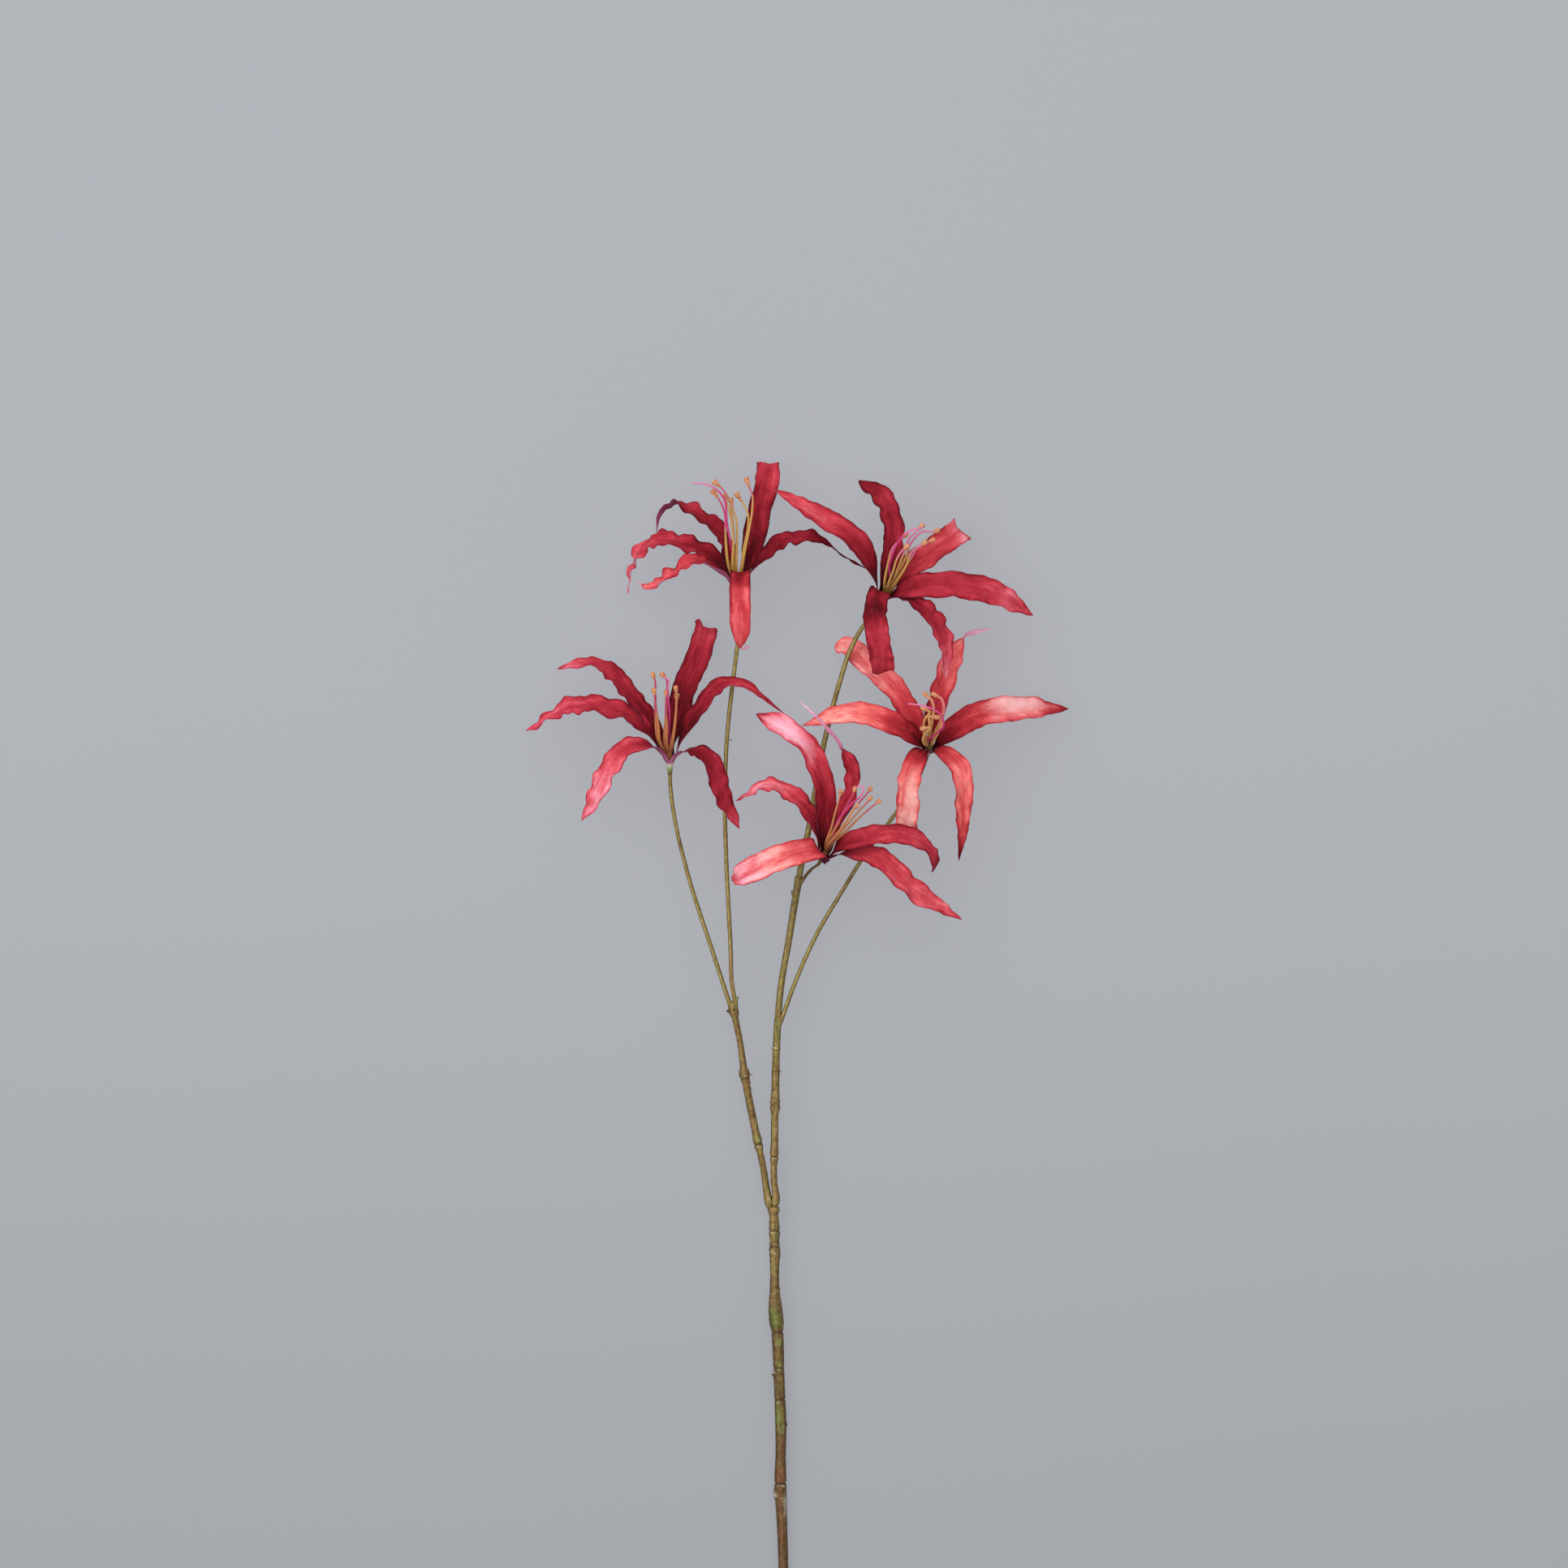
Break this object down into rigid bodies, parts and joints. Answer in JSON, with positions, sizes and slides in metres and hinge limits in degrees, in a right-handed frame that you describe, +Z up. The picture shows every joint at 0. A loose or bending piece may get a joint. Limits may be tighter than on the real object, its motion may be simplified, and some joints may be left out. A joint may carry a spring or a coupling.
{
  "type": "nerine flower stem",
  "caption": "Cut flower stem lying on its back: a stem that forks twice and carries open blooms with recurved waved tepals and long stamens.",
  "frame": {"origin": "middle of the footprint, on the surface that the stem lies on", "axes": "+Y up the stem towards the blooms, +X to the right as seen from above, +Z up from the surface"},
  "size_m": [0.3365, 0.7015, 0.0882],
  "materials": {
    "stem": "brown stem with olive edges, green patches and ring marks",
    "pedicel": "olive brown, thin, satin",
    "receptacle": "pale green, matte",
    "tepal": "crimson cloth with darker edges, paler tips and soft lengthwise veins",
    "stamen": "ochre filaments that turn magenta, peach orange anthers",
    "style": "magenta thread, satin"
  },
  "bodies": {
    "root": {"main_stem": "stem", "left_branch": "stem", "right_branch": "stem", "pedicel_1": "pedicel", "pedicel_2": "pedicel", "pedicel_3": "pedicel", "pedicel_4": "pedicel", "pedicel_5": "pedicel", "receptacle_1": "receptacle", "receptacle_2": "receptacle", "receptacle_3": "receptacle", "receptacle_4": "receptacle", "receptacle_5": "receptacle", "tepals_1": "tepal", "tepals_2": "tepal", "tepals_3": "tepal", "tepals_4": "tepal", "tepals_5": "tepal", "stamens_1": "stamen", "stamens_2": "stamen", "stamens_3": "stamen", "stamens_4": "stamen", "stamens_5": "stamen", "style_1": "style", "style_2": "style", "style_3": "style", "style_4": "style", "style_5": "style"}
  },
  "joints": []
}
